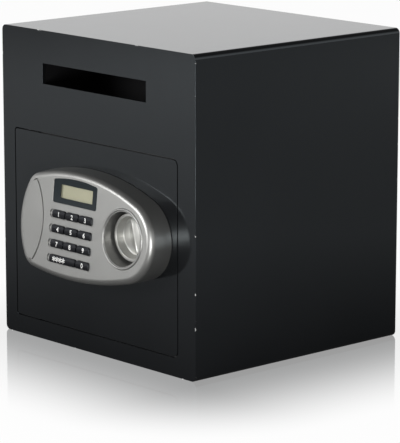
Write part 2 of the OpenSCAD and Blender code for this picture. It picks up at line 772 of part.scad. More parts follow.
// Grip with scooped flanks that rise from a leaf-shaped foot to a narrow crest
module grip() {
    crest_w = 1.6;
    foot = knob_sink + dish_depth;
    rotate(grip_turn) loft(concat(
        [leaf(grip_l, grip_w, -foot - 0.5)],
        [for (k = [0:6]) let(t = k / 6)
            leaf(grip_l, crest_w + (grip_w - crest_w) * pow(1 - t, 2), grip_h * t - foot)]));
}

module knob() color("#b4b4ae") on_knob() difference() {
    foot = -knob_sink - knob_h;
    union() {
        difference() {
            union() {
                translate([0, 0, foot]) rotate_extrude() polygon(concat(
                    [[0, 0], [knob_d / 2 - 2, 0]],
                    arc([knob_d / 2 - 1, knob_h - 1], 1, 0, 90, 4),
                    [[0, knob_h]]));
                translate([0, 0, foot - 5.5]) cylinder(d = spindle_d + 4, h = 6);
            }
            translate([0, 0, -knob_sink - dish_depth]) rotate_extrude() polygon([
                [0, 0], [dish_floor / 2, 0], [dish_floor / 2 + 1.5, 0.7],
                [knob_d / 2 - knob_rim, dish_depth], [knob_d / 2 - knob_rim, dish_depth + 2], [0, dish_depth + 2]]);
        }
        grip();
    }
    translate([0, 0, foot - 5.5 - over]) cylinder(d = spindle_d, h = 6.5 + over + spindle_seat);
}

module knob_spindle() color("silver")
    rod_y(knob_x, knob_z, face_y + knob_sink + knob_h - 1 - spindle_seat, cam_back, spindle_d);

module spindle_bush() color("#b89b52") difference() {
    union() {
        rod_y(knob_x, knob_z, front_y, door_back + flange_t, spindle_d + 4);
        rod_y(knob_x, knob_z, door_back, door_back + flange_t, spindle_d + 8);
    }
    rod_y(knob_x, knob_z, front_y - over, door_back + flange_t + over, spindle_d + 2 * shaft_fit);
}

// Crank on the spindle, a quarter turn from end to end
module bolt_cam() color("#8f9294") difference() {
    union() {
        rod_y(knob_x, knob_z, cam_front, cam_back, hub_d);
        translate([knob_x, cam_back, knob_z]) rotate([90, 0, 0]) linear_extrude(cam_arm_t) hull() {
            circle(d = hub_d - 1, $fn = 32);
            translate([-pin_dx, pin_dx]) circle(d = crank_pin_d + 3, $fn = 32);
        }
        rod_y(knob_x - pin_dx, knob_z + pin_dx, cam_back, carriage_y + carriage_t / 2 + 1.5, crank_pin_d);
    }
    rod_y(knob_x, knob_z, cam_front - over, cam_back + over, spindle_d);
}

// Boltwork

module carriage_plan() difference() {
    union() {
        low = bolt_zs[0] - bolt_d / 2 - 2;
        translate([carriage_l, low]) square([carriage_r - carriage_l, bolt_zs[1] + bolt_d / 2 + 2 - low]);
        translate([plunger_x - throw - 8, arm_z[0]]) square([carriage_l - plunger_x + throw + 9, arm_z[1]]);
    }
    for (z = stud_zs) translate([stud_x - throw / 2, z])
        stadium(throw + stud_d + 2 * stud_play + 0.4, stud_d + 2 * stud_play);
    translate([knob_x - pin_dx, knob_z + (pin_dx + crank_r) / 2]) square(
        [crank_pin_d + 2 * crank_fit, crank_r - pin_dx + crank_pin_d + 2 * crank_fit], center = true);
    translate([plunger_x - throw - plunger_d / 2 - 0.7, arm_z[0] + arm_z[1] - 6]) square([plunger_d + 1.4, 6 + over]);
}

module bolt_carriage() color("#8f9294") slab(carriage_y - carriage_t / 2, carriage_t) carriage_plan();

module locking_bolts() color("silver") difference() {
    for (z = bolt_zs) rod_x(carriage_r - grip_depth, bolt_tip, carriage_y, z, bolt_d);
    for (z = bolt_zs) block(
        [carriage_r - grip_depth - over, carriage_y - carriage_t / 2, z - bolt_d],
        [carriage_r, carriage_y + carriage_t / 2, z + bolt_d]);
}

// Solenoid that drops its plunger behind the thrown carriage

module solenoid_body() color("#6a6d70") difference() {
    block([plunger_x - solenoid_w / 2, door_back, coil_z],
              [plunger_x + solenoid_w / 2, carriage_y + 11, coil_z + solenoid_h]);
    translate([plunger_x, carriage_y, coil_z - over])
        cylinder(r = plunger_d / 2 + shaft_fit, h = 22);
}

module solenoid_plunger() color("silver") translate([plunger_x, carriage_y, 0]) {
    translate([0, 0, plunger_z]) cylinder(d = plunger_d, h = coil_z - plunger_z + 15);
    translate([0, 0, collar_z]) cylinder(d = plunger_d + 4, h = collar_t);
}

module plunger_spring() color("silver")
    translate([plunger_x, carriage_y, collar_z + collar_t]) difference() {
        cylinder(d = plunger_d + 3, h = spring_l);
        translate([0, 0, -over]) cylinder(d = plunger_d + 1.4, h = spring_l + 2 * over);
    }

// Battery box, its batteries and lid, and the reset button

module battery_box() color("#1c1d1f") difference() {
    block([tray_x - tray_w / 2, pan_back - tray_d, tray_z - tray_h / 2],
          [tray_x + tray_w / 2, pan_back, tray_z + tray_h / 2]);
    block([tray_x - tray_w / 2 + tray_t, pan_back - tray_d + tray_t, tray_z - tray_h / 2 + tray_t],
          [tray_x + tray_w / 2 - tray_t, pan_back + over, tray_z + tray_h / 2 - tray_t]);
}

module batteries() color("#b0703a") for (k = [0:cells - 1])
    rod_x(tray_x - cell_l / 2, tray_x + cell_l / 2, pan_back - tray_d + tray_t + cell_d / 2,
          tray_z + (k - (cells - 1) / 2) * cell_pitch, cell_d);

module battery_lid() color("#1c1d1f") slab(pan_back, lid_t) translate([tray_x, tray_z])
    rounded_rect(tray_w + 6, tray_h + 6, 3);

module reset_switch() color("#1c1d1f") difference() {
    block([reset_x - 6, pan_back - pan_t - 10.5, reset_z - 6], [reset_x + 6, pan_back - pan_t, reset_z + 6]);
    rod_y(reset_x, reset_z, pan_back - pan_t - 2.6, pan_back, reset_d + 0.6);
    rod_y(reset_x, reset_z, pan_back - pan_t - 9, pan_back, reset_d - 2 + 2 * shaft_fit);
}

module reset_button() color("#b01818") {
    rod_y(reset_x, reset_z, pan_back - pan_t - 2.4 + reset_travel, pan_back + 1.8, reset_d);
    rod_y(reset_x, reset_z, pan_back - pan_t - 7, pan_back, reset_d - 2);
}

// Override lock

barrel_front = face_y + cover_t + 0.3 + barrel_d / 2 * sin(face_tilt);

module override_barrel() color("#9a9c9e") difference() {
    rod_y(override_x, knob_z, barrel_front, door_back + 3, barrel_d);
    rod_y(override_x, knob_z, barrel_front - over, door_back + 3 + over, plug_d + 2 * shaft_fit);
}

module override_plug() color("#c4c6c8") difference() {
    rod_y(override_x, knob_z, barrel_front, door_back + 6, plug_d);
    block([override_x - 0.7, barrel_front - over, knob_z - 3], [override_x + 0.7, barrel_front + 8, knob_z + 3]);
}

module override_cam() color("#8f9294") translate([override_x, door_back + 5.4, knob_z]) rotate([90, 0, 0])
    difference() {
        linear_extrude(2) hull() {
            circle(d = plug_d + 5, $fn = 32);
            translate([0, 18]) circle(d = 6, $fn = 32);
        }
        translate([0, 0, -over]) cylinder(d = plug_d, h = 4);
    }

body_wrap();
front_plate();
back_plate();
strike_plate();
door_stops();
hinge_brackets();
deposit_chute();
chute_teeth();
floor_mat();
door_plate();
hinge_blocks();
hinge_pins();
door_cover();
cover_screws();
bolt_guide();
guide_studs();
lock_housing();
housing_gasket();
housing_screws();
display_lens();
display_panel();
circuit_board();
key_mat();
spindle_bush();
solenoid_body();
plunger_spring();
battery_box();
batteries();
override_barrel();
reset_switch();
knob();
knob_spindle();
bolt_cam();
bolt_carriage();
locking_bolts();
key(0);  // key_1
key(1);  // key_2
key(2);  // key_3
key(3);  // key_4
key(4);  // key_5
key(5);  // key_6
key(6);  // key_7
key(7);  // key_8
key(8);  // key_9
key(9);  // key_wide
key(10);  // key_0
keyhole_cover();
override_plug();
override_cam();
solenoid_plunger();
reset_button();
battery_lid();
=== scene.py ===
# Front-loading depository safe with a keypad lock: its looks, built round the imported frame
import json
import math
import bpy
import bmesh
from mathutils import Matrix, Vector


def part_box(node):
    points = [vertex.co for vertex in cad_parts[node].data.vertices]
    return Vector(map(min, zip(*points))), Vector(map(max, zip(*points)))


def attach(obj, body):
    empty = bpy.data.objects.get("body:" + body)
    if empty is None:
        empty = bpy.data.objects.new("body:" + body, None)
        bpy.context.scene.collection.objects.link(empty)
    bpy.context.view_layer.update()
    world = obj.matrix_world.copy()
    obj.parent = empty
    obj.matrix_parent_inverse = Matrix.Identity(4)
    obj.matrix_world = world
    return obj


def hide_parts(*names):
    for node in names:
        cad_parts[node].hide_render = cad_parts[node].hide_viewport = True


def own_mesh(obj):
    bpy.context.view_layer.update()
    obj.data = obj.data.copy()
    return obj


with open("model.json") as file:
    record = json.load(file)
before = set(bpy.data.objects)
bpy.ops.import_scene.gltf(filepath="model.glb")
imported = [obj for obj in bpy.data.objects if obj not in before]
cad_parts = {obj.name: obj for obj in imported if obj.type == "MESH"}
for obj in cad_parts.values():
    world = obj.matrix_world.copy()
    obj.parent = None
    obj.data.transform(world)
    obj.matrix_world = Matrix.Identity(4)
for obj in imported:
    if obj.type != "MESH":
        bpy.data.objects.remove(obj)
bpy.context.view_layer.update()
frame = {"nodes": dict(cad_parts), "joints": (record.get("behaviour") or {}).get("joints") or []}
nodes = frame["nodes"]
joints = {joint["name"]: joint for joint in frame["joints"]}
MM = 0.001

# Camera
# A long lens stands to the right of the door and a little above the safe, and looks down on
# the corner between the door and the side.
photo_tall, focal_px, rise_px = 443, 2757, 1.6
looks_down, heading = 11.8, 47.87
camera = bpy.data.objects.new("camera", bpy.data.cameras.new("camera"))
bpy.context.scene.collection.objects.link(camera)
bpy.context.scene.camera = camera
camera.location = (2.449, -2.215, 0.827)
camera.rotation_euler = (math.radians(90 - looks_down), 0, math.radians(heading))
camera.data.sensor_fit = "VERTICAL"
camera.data.sensor_height = 36
camera.data.lens = focal_px * camera.data.sensor_height / photo_tall
camera.data.shift_y = rise_px / photo_tall
camera.data.clip_start = 0.05
camera.data.clip_end = 60

# Studio
# A white room under a dark ceiling, its pale floor polished round the safe and, for all rays but the
# camera's, painted darker near the safe as painted shade. A broad lamp stands at the front left, a low card
# before the door gives moulded edges their line, one is behind.
bpy.context.scene.view_settings.view_transform = "Standard"


def put(tree, kind, inputs=None, **settings):
    """A node with its settings, and with each input set to a number or joined to a socket."""
    made = tree.nodes.new(kind)
    for title, value in settings.items():
        setattr(made, title, value)
    for title, value in (inputs or {}).items():
        if isinstance(value, bpy.types.NodeSocket):
            tree.links.new(value, made.inputs[title])
        else:
            made.inputs[title].default_value = value
    return made


def maths(tree, operation, a, b):
    """The result of one operation on two numbers."""
    return put(tree, "ShaderNodeMath", {0: a, 1: b}, operation=operation).outputs[0]


def vector_maths(tree, operation, a, b=(0, 0, 0)):
    """The result of one operation on vectors, which is a number for a length."""
    made = put(tree, "ShaderNodeVectorMath", {0: a, 1: b}, operation=operation)
    return made.outputs["Value" if operation == "LENGTH" else "Vector"]


def ranged(tree, value, first, last, until=1.0, since=0.0, **settings):
    """A number that goes from first to last as the value goes from since to until."""
    ends = {"Value": value, "From Min": since, "From Max": until, "To Min": first, "To Max": last}
    return put(tree, "ShaderNodeMapRange", ends, **settings).outputs["Result"]


def over(tree, share, under, upper):
    """One shader laid over another by a share."""
    return put(tree, "ShaderNodeMixShader", {"Fac": share, 1: under, 2: upper}).outputs[0]


def seen_share(tree, camera_share, mirror_share):
    """A number that camera rays and mirrored or transmitted rays each get their own share of."""
    path = put(tree, "ShaderNodeLightPath").outputs
    mirrored = maths(tree, "MAXIMUM", path["Is Glossy Ray"], path["Is Transmission Ray"])
    direct = maths(tree, "MULTIPLY", path["Is Camera Ray"], camera_share)
    return maths(tree, "MAXIMUM", maths(tree, "MULTIPLY", mirrored, mirror_share), direct)


room = bpy.data.worlds.new("room")
bpy.context.scene.world = room
room.use_nodes = True
tree = room.node_tree
room_light, wall_light, ceiling_light = 0.4, 1.0, 0.08
wall_top, ceiling_from = 0.3, 0.6
towards = put(tree, "ShaderNodeTexCoord").outputs["Generated"]
height = put(tree, "ShaderNodeSeparateXYZ", {"Vector": towards}).outputs["Z"]
mirrored_room = ranged(tree, height, wall_light, ceiling_light, ceiling_from, wall_top)
backdrop = tree.nodes["Background"].inputs
backdrop["Color"].default_value = (1, 1, 1, 1)
tree.links.new(ranged(tree, seen_share(tree, 1.0, 1.0), room_light, mirrored_room), backdrop["Strength"])

floor_half = 9.0
floor_mesh = bpy.data.meshes.new("floor")
floor_corners = [(x * floor_half, y * floor_half, 0) for x, y in ((-1, -1), (1, -1), (1, 1), (-1, 1))]
floor_mesh.from_pydata(floor_corners, [], [(0, 1, 2, 3)])
floor = bpy.data.objects.new("floor", floor_mesh)
bpy.context.scene.collection.objects.link(floor)
floor_paint = bpy.data.materials.new("pale_floor")
floor_paint.use_nodes = True
tree = floor_paint.node_tree
lit = tree.nodes["Principled BSDF"]
lit.inputs["Roughness"].default_value = 0.7
lit.inputs["Specular IOR Level"].default_value = 0.0
footprint = (0.175, 0.165, 0)
# Painted shade: the floor's grey for rays other than the camera's is darkest beside the safe and pales with
# distance, standing in for the shadow round its foot.
painted_shade_grey, far_grey, painted_shade_reach, plain_grey = 0.11, 0.5, 0.6, 0.8
polish_share, polish_reach = 0.66, 0.24
away = vector_maths(tree, "ABSOLUTE", put(tree, "ShaderNodeTexCoord").outputs["Object"])
away = vector_maths(tree, "MAXIMUM", vector_maths(tree, "SUBTRACT", away, footprint))
away = vector_maths(tree, "LENGTH", away)
floor_grey_with_painted_shade = ranged(tree, away, painted_shade_grey, far_grey, until=painted_shade_reach)
floor_grey = ranged(tree, seen_share(tree, 1.0, 0.0), floor_grey_with_painted_shade, plain_grey)
tree.links.new(floor_grey, lit.inputs["Base Color"])
white = put(tree, "ShaderNodeEmission", {"Strength": 1.0}).outputs[0]
floor_tone = over(tree, seen_share(tree, 0.96, 0.03), lit.outputs[0], white)
near = ranged(tree, away, polish_share, 0.0, until=polish_reach, interpolation_type="SMOOTHSTEP")
near = maths(tree, "MULTIPLY", near, seen_share(tree, 1.0, 0.0))
polish = put(tree, "ShaderNodeBsdfGlossy", {"Roughness": 0.06}).outputs[0]
floor_shine = over(tree, near, floor_tone, polish)
tree.links.new(floor_shine, tree.nodes["Material Output"].inputs["Surface"])
floor.data.materials.append(floor_paint)


def lamp(name, place, aim, wide, tall, power):
    """A flat lamp that the camera doesn't see, at a place and turned to its aim."""
    light = bpy.data.objects.new(name, bpy.data.lights.new(name, "AREA"))
    light.data.shape = "RECTANGLE"
    light.data.size = wide
    light.data.size_y = tall
    light.data.energy = power
    light.location = place
    light.rotation_euler = (Vector(aim) - Vector(place)).to_track_quat("-Z", "Y").to_euler()
    light.visible_camera = False
    bpy.context.scene.collection.objects.link(light)


lamp("main_lamp", (-1.15, -2.55, 0.9), (-0.2, -0.3, 0.1), 1.3, 1.0, 46)
lamp("low_card", (0.78, -0.83, 0.16), (0.085, -0.2, 0.15), 0.3, 0.28, 5.5)
lamp("back_lamp", (1.3, 2.5, 0.8), (1.2, 1.7, 0), 1.0, 0.6, 10)

# Cabinet wrap
# One steel sheet folded round the base, sides and top, welded behind and dipped in black
# baking enamel, which flows into a gloss with a faint orange peel.


def surface(name, colour, drift=0.1, rough=0.4, rough_drift=0.05, grain=300.0, relief=0.1, depth=0.05,
            metal=0.0, coat=0.0, stretch=(1, 1, 1), see_through=1.0, broad=9.0, gloss_tint=(1, 1, 1)):
    """A paint, plastic, rubber or metal: colour and roughness drift a little over a fine relief."""
    material = bpy.data.materials.new(name)
    material.use_nodes = True
    tree = material.node_tree
    shader = tree.nodes["Principled BSDF"]
    for title, value in (("Metallic", metal), ("Coat Weight", coat), ("Coat Roughness", 0.06),
                         ("Alpha", see_through), ("Specular Tint", gloss_tint + (1,))):
        shader.inputs[title].default_value = value
    place = put(tree, "ShaderNodeTexCoord").outputs["Object"]
    place = put(tree, "ShaderNodeMapping", {"Vector": place, "Scale": stretch}).outputs["Vector"]
    clouds, patches, grains = [
        put(tree, "ShaderNodeTexNoise", {"Vector": place, "Scale": scale, "Detail": detail}).outputs["Fac"]
        for scale, detail in ((broad, 4.0), (42.0, 5.0), (grain, 3.0))]
    tone = put(tree, "ShaderNodeMix", {
        "Factor": clouds,
        6: tuple(c * (1 - drift) for c in colour) + (1,),
        7: tuple(min(1, c * (1 + drift)) for c in colour) + (1,)}, data_type="RGBA").outputs[2]
    tree.links.new(tone, shader.inputs["Base Color"])
    spread = ranged(tree, patches, max(0.02, rough - rough_drift), min(1, rough + rough_drift))
    tree.links.new(spread, shader.inputs["Roughness"])
    bump = put(tree, "ShaderNodeBump", {"Height": grains, "Strength": relief, "Distance": depth * MM})
    tree.links.new(bump.outputs["Normal"], shader.inputs["Normal"])
    return material


def chipped(material, middle, half, reach, scale, above, primer):
    """Small chips in a paint along the edges of a box, which show the dull primer."""
    tree = material.node_tree
    shader = tree.nodes["Principled BSDF"]
    place = put(tree, "ShaderNodeTexCoord").outputs["Object"]
    past = vector_maths(tree, "ABSOLUTE", vector_maths(tree, "SUBTRACT", place, middle))
    past = vector_maths(tree, "SUBTRACT", past, half)
    x, y, z = put(tree, "ShaderNodeSeparateXYZ", {"Vector": past}).outputs
    second = maths(tree, "MINIMUM", maths(tree, "MAXIMUM", x, y), z)
    second = maths(tree, "MAXIMUM", second, maths(tree, "MINIMUM", x, y))
    on_edge = maths(tree, "GREATER_THAN", second, -reach * MM)
    spots = put(tree, "ShaderNodeTexNoise", {"Vector": place, "Scale": scale, "Detail": 2.0}).outputs["Fac"]
    chip = maths(tree, "MULTIPLY", maths(tree, "GREATER_THAN", spots, above), on_edge)
    paint = shader.inputs["Base Color"].links[0].from_socket
    gloss = shader.inputs["Roughness"].links[0].from_socket
    shown = put(tree, "ShaderNodeMix", {"Factor": chip, 6: paint, 7: primer}, data_type="RGBA").outputs[2]
    tree.links.new(shown, shader.inputs["Base Color"])
    tree.links.new(ranged(tree, chip, gloss, 0.6), shader.inputs["Roughness"])


def new_piece(name, mesh, material):
    """An object at the origin that shows the mesh in one material."""
    piece = bpy.data.objects.new(name, mesh)
    bpy.context.scene.collection.objects.link(piece)
    mesh.materials.clear()
    mesh.materials.append(material)
    return piece


def applied(piece, name):
    """The piece with its modifiers made plain mesh, under its own name."""
    piece.name = "unfinished"
    bpy.context.view_layer.update()
    mesh = bpy.data.meshes.new_from_object(piece.evaluated_get(bpy.context.evaluated_depsgraph_get()))
    result = bpy.data.objects.new(name, mesh)
    bpy.context.scene.collection.objects.link(result)
    bpy.data.objects.remove(piece)
    return result


def shaded(piece, angle=33):
    """Smooth shading that leaves flat faces flat and keeps each edge sharper than the angle."""
    name = piece.name
    piece.data.polygons.foreach_set("use_smooth", [True] * len(piece.data.polygons))
    piece.data.set_sharp_from_angle(angle=math.radians(angle))
    flat = piece.modifiers.new("flat", "WEIGHTED_NORMAL")
    flat.weight = 90
    flat.keep_sharp = True
    return applied(piece, name)


def eased(node, name, radius, material, where=None, steps=2):
    """A CAD piece with its loose triangles joined and its sharp edges rounded by a small radius."""
    mesh = nodes[node].data.copy()
    work = bmesh.new()
    work.from_mesh(mesh)
    bmesh.ops.remove_doubles(work, verts=work.verts, dist=0.004 * MM)
    bmesh.ops.dissolve_limit(work, angle_limit=math.radians(0.7), verts=work.verts, edges=work.edges)
    weight = work.edges.layers.float.new("bevel_weight_edge")
    for edge in work.edges:
        middle = (edge.verts[0].co + edge.verts[1].co) / (2 * MM)
        sharp = edge.is_manifold and edge.calc_face_angle(0) > math.radians(38)
        if sharp and (not where or where(middle)):
            edge[weight] = 1
    work.to_mesh(mesh)
    work.free()
    piece = new_piece(name, mesh, material)
    rounding = piece.modifiers.new("rounding", "BEVEL")
    rounding.width = radius * MM
    rounding.segments = steps
    rounding.limit_method = "WEIGHT"
    return shaded(applied(piece, name))


def fitted(piece, body, slot, *stands_for):
    """The piece rides its body and stands for CAD nodes. The slot is not used."""
    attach(piece, body)
    if stands_for:
        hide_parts(*stands_for)


def fit_eased(node, name, radius, material, body, slot, where=None, steps=2):
    """A CAD piece with eased edges is fitted in the node's own place."""
    fitted(eased(node, name, radius, material, where, steps), body, slot, node)


half_wide, half_deep, tall, sheet = 175, 165, 380, 3
enamel = surface("black_enamel", (0.0065, 0.0068, 0.0075), drift=0.25, rough=0.1, rough_drift=0.03,
                 grain=240, relief=0.06, depth=0.03, gloss_tint=(0.81, 0.93, 1.0))
chipped(enamel, (0, 0, tall / 2 * MM), (half_wide * MM, half_deep * MM, tall / 2 * MM),
        reach=0.8, scale=120, above=0.66, primer=(0.42, 0.42, 0.41, 1))
outside = lambda p: abs(p.x) > half_wide - sheet + 0.2 or p.z > tall - sheet + 0.2 or p.z < sheet - 0.2
fit_eased("body_wrap", "cabinet_wrap", 1.8, enamel, "cabinet", "cabinet_paint", outside, steps=4)

# Front plate
# Laser-cut plate welded flush into the wrap and ground, with the deposit slot and the door
# opening. Its cut edges are broken before the enamel.
inside_front = lambda p: abs(p.x) < half_wide - sheet - 1 and sheet + 1 < p.z < tall - sheet - 1
fit_eased("front_plate", "front_sheet", 0.35, enamel, "cabinet", "front_paint", inside_front)

# Back plate
# A plate of the same sheet as the wrap, with two anchor holes, welded inside its back edge and
# enamelled with it.
fit_eased("back_plate", "back_sheet", 0.4, enamel, "cabinet", "cabinet_paint")

# Strike plate, stops and hinge brackets
# Strips of sheet steel behind the front plate: an angle with windows for the bolts, two bars
# that the door closes against, and the hinge's brackets. Welded, under a thinner satin coat.
satin_black = surface("satin_black", (0.007, 0.007, 0.0078), drift=0.2, rough=0.42, grain=700, relief=0.25)
for node, name in (("strike_plate", "strike_angle"), ("door_stops", "stop_bars"),
                   ("hinge_brackets", "bracket_pair")):
    fit_eased(node, name, 0.3, satin_black, "cabinet", "inner_paint")

# Deposit chute
# Folded sheet in flat primer, hung behind the slot: a deposit slides down its floor and drops through a
# throat, where saw teeth catch anything that is pulled back up. Its primer is painted darker than primer is,
# as painted shade in the slot.
# Painted shade: a near-black colour, darker than real primer, so that the slot behind the front reads black.
slot_shade_black = surface("flat_primer", (0.004, 0.004, 0.0045), drift=0.2, rough=0.8, grain=900, relief=0.3,
                     gloss_tint=(0.3, 0.3, 0.3))
fit_eased("deposit_chute", "chute_sheet", 0.25, slot_shade_black, "cabinet", "inner_paint")
fit_eased("chute_teeth", "saw_strip", 0.15, slot_shade_black, "cabinet", "inner_paint")

# Floor mat
# A sheet of needled grey felt, cut to the cabinet's floor and punched round the anchor holes.
# It lies loose on the steel.


def dress(node, material):
    """A CAD node that already has its shape gets its finish."""
    nodes[node].data.materials.clear()
    nodes[node].data.materials.append(material)


dress("floor_mat", surface("grey_felt", (0.07, 0.07, 0.075), drift=0.35, rough=0.95,
                           grain=1400, relief=0.9, depth=0.6))

# Door plate
# Thick plate cut to the opening, so that only a thin dark gap shows round it, and enamelled
# like the front.
fit_eased("door_plate", "door_sheet", 0.35, enamel, "door", "front_paint")

# Concealed hinge
# Two drilled blocks welded behind the door hold turned steel pins, which turn in the bores of
# the brackets.
turned_steel = surface("turned_steel", (0.55, 0.55, 0.56), drift=0.08, rough=0.3,
                       grain=900, relief=0.12, metal=1)
fit_eased("hinge_blocks", "hinge_block_pair", 0.4, satin_black, "door", "inner_paint")
fit_eased("hinge_pins", "pin_pair", 0.4, turned_steel, "door", "bare_steel")

# Cover inside the door
# A pan folded from sheet steel and screwed over the boltwork, with windows for the bolts and
# the battery box.
fit_eased("door_cover", "door_pan", 0.4, satin_black, "door", "inner_paint")

# Screws
# Steel screws with pan heads and a cross recess, driven home at any angle: six hold the pan and
# four hold the lock housing from behind the door plate.


def skin(name, rings, loop=False):
    """A closed mesh through rings of equally many points, capped at both ends unless it's a loop."""
    count, last = len(rings[0]), len(rings) - 1
    faces = [] if loop else [tuple(range(count)), tuple(range(last * count, (last + 1) * count))]
    for k in range(last + 1 if loop else last):
        a, b = k * count, (k + 1) % (last + 1) * count
        faces += [(a + i, a + (i + 1) % count, b + (i + 1) % count, b + i) for i in range(count)]
    mesh = bpy.data.meshes.new(name)
    mesh.from_pydata([p for ring in rings for p in ring], [], faces)
    work = bmesh.new()
    work.from_mesh(mesh)
    bmesh.ops.remove_doubles(work, verts=work.verts, dist=1e-7)
    bmesh.ops.dissolve_degenerate(work, edges=work.edges, dist=1e-7)
    bmesh.ops.recalc_face_normals(work, faces=work.faces)
    work.to_mesh(mesh)
    work.free()
    return mesh


def lathe(name, profile, place=Matrix(), steps=48, loop=False):
    """A profile of (radius, height) in millimetres turned about the Z axis, then put in its place."""
    turns = [math.tau * i / steps for i in range(steps)]
    rings = [[place @ (Vector((r * math.cos(a), r * math.sin(a), z)) * MM) for a in turns]
             for r, z in profile]
    return skin(name, rings, loop)


def curve_of(centre, radius, start, end, steps):
    """Points (radius, height) on an arc of a profile, with the angles in degrees."""
    angles = [math.radians(start + (end - start) * k / steps) for k in range(steps + 1)]
    return [(centre[0] + radius * math.cos(a), centre[1] + radius * math.sin(a)) for a in angles]


def combined(piece, tools, name, kind="DIFFERENCE"):
    """The piece with other meshes cut from it or joined to it."""
    for tool in tools:
        step = piece.modifiers.new("cut", "BOOLEAN")
        step.operation = kind
        step.solver = "MANIFOLD"
        step.object = tool
    result = applied(piece, name)
    for tool in tools:
        bpy.data.objects.remove(tool)
    return result


def new_tree(name, *inputs):
    """An empty tree of geometry nodes, with named inputs and a finish, and its input sockets."""
    tree = bpy.data.node_groups.new(name, "GeometryNodeTree")
    for title, kind in inputs + (("Finish", "Material"),):
        tree.interface.new_socket(title, in_out="INPUT", socket_type="NodeSocket" + kind)
    tree.interface.new_socket("Result", in_out="OUTPUT", socket_type="NodeSocketGeometry")
    return tree, put(tree, "NodeGroupInput").outputs


def end_tree(tree, shape, finish):
    """The last nodes of a tree, which make its shape plain mesh in its finish."""
    shape = put(tree, "GeometryNodeRealizeInstances", {"Geometry": shape}).outputs[0]
    shape = put(tree, "GeometryNodeSetMaterial", {"Geometry": shape, "Material": finish}).outputs[0]
    put(tree, "NodeGroupOutput", {0: shape})
    return tree


def grow(piece, tree, values):
    """The piece gets a tree of geometry nodes, with a value for each named input."""
    step = piece.modifiers.new("grow", "NODES")
    step.node_group = tree
    for socket in tree.interface.items_tree:
        if socket.name in values:
            step[socket.identifier] = values[socket.name]


def repeat_tree():
    """Copies of one object on the points of a mesh, each turned about its own axis, then stood up."""
    tree, given = new_tree("repeat_on_points", ("Points", "Geometry"), ("Piece", "Object"),
                           ("Stand", "Vector"), ("Half turns", "Bool"), ("Any turn", "Float"))
    piece = put(tree, "GeometryNodeObjectInfo", {"Object": given["Piece"]}).outputs["Geometry"]
    odd = maths(tree, "MODULO", put(tree, "GeometryNodeInputIndex").outputs[0], 2.0)
    flip = maths(tree, "MULTIPLY", maths(tree, "MULTIPLY", odd, given["Half turns"]), math.pi)
    spin = put(tree, "FunctionNodeRandomValue", {3: given["Any turn"], "Seed": 5}).outputs[1]
    turn = put(tree, "ShaderNodeCombineXYZ", {"X": flip, "Z": spin}).outputs[0]
    copies = put(tree, "GeometryNodeInstanceOnPoints", {
        "Points": given["Points"], "Instance": piece}).outputs[0]
    for rotation in (given["Stand"], turn):
        copies = put(tree, "GeometryNodeRotateInstances", {
            "Instances": copies, "Rotation": rotation, "Local Space": True}).outputs[0]
    return end_tree(tree, copies, given["Finish"])


repeater = repeat_tree()


def repeated(name, pattern, points, material, stand=(0, 0, 0), half_turns=False, any_turn=0.0):
    """One plain mesh of copies of a pattern on points in millimetres."""
    mesh = bpy.data.meshes.new(name)
    mesh.from_pydata([Vector(p) * MM for p in points], [], [])
    piece = new_piece(name + "_points", mesh, material)
    grow(piece, repeater, {"Piece": pattern, "Stand": stand, "Half turns": half_turns,
                           "Any turn": any_turn, "Finish": material})
    piece = applied(piece, name)
    bpy.data.objects.remove(pattern)
    return piece


def screw_pattern(length, pitch=0.7, shank_r=2.0, ridge=0.3, tip_r=1.2, head_r=3.8, head_high=2.4,
                  dome_r=2.0, cross_long=2.4, cross_wide=0.4):
    """A pan-head screw that points down, its shank rolled with a thread and its head recessed."""
    ridges = 2 * int(length / pitch)
    thread = [(shank_r - ridge * (1 - k % 2), -length + length * k / ridges) for k in range(ridges)]
    dome = curve_of((head_r - dome_r, head_high - dome_r), dome_r, 0, 90, 5)
    profile = [(0, -length), (tip_r, -length)] + thread + [(shank_r, 0), (head_r, 0)] + dome
    profile += [(0, head_high)]
    body = new_piece("screw", lathe("screw", profile), turned_steel)
    slots = []
    for half_x, half_y in ((cross_long, cross_wide), (cross_wide, cross_long)):
        ring = [(half_x, half_y), (-half_x, half_y), (-half_x, -half_y), (half_x, -half_y)]
        levels = [[Vector((x * s, y * s if half_y > half_x else y, z)) * MM for x, y in ring]
                  for z, s in ((1.3, 0.45), (3.0, 1.0))]
        slots.append(new_piece("slot", skin("slot", levels), turned_steel))
    return shaded(combined(body, slots, "screw"))


def screwed(node, name, length, spots):
    """Screws of one length driven from behind the door, at places in millimetres."""
    screws = repeated(name, screw_pattern(length), spots, turned_steel, (-math.pi / 2, 0, 0),
                      any_turn=math.tau)
    fitted(screws, "door", "bare_steel", node)


door_back, pan_sheet = -161, 1.5
pan_left, pan_right, pan_low, pan_high, pan_edge, pan_flange = -112.5, 126.5, 46, 233, 12, 5
screwed("cover_screws", "pan_screws", 1.5, [
    (x, door_back + pan_sheet, z)
    for x in (pan_left + pan_edge, (pan_left + pan_right) / 2, pan_right - pan_edge)
    for z in (pan_low - pan_flange, pan_high + pan_flange)])
knob_x, knob_z = 85.0, 159.0
housing_bosses = [(-141, 41.5), (-141, -46.5), (-20, 38.5), (-33, -48.5)]
screwed("housing_screws", "housing_bolts", 16, [
    (knob_x + u, door_back, knob_z + v) for u, v in housing_bosses])

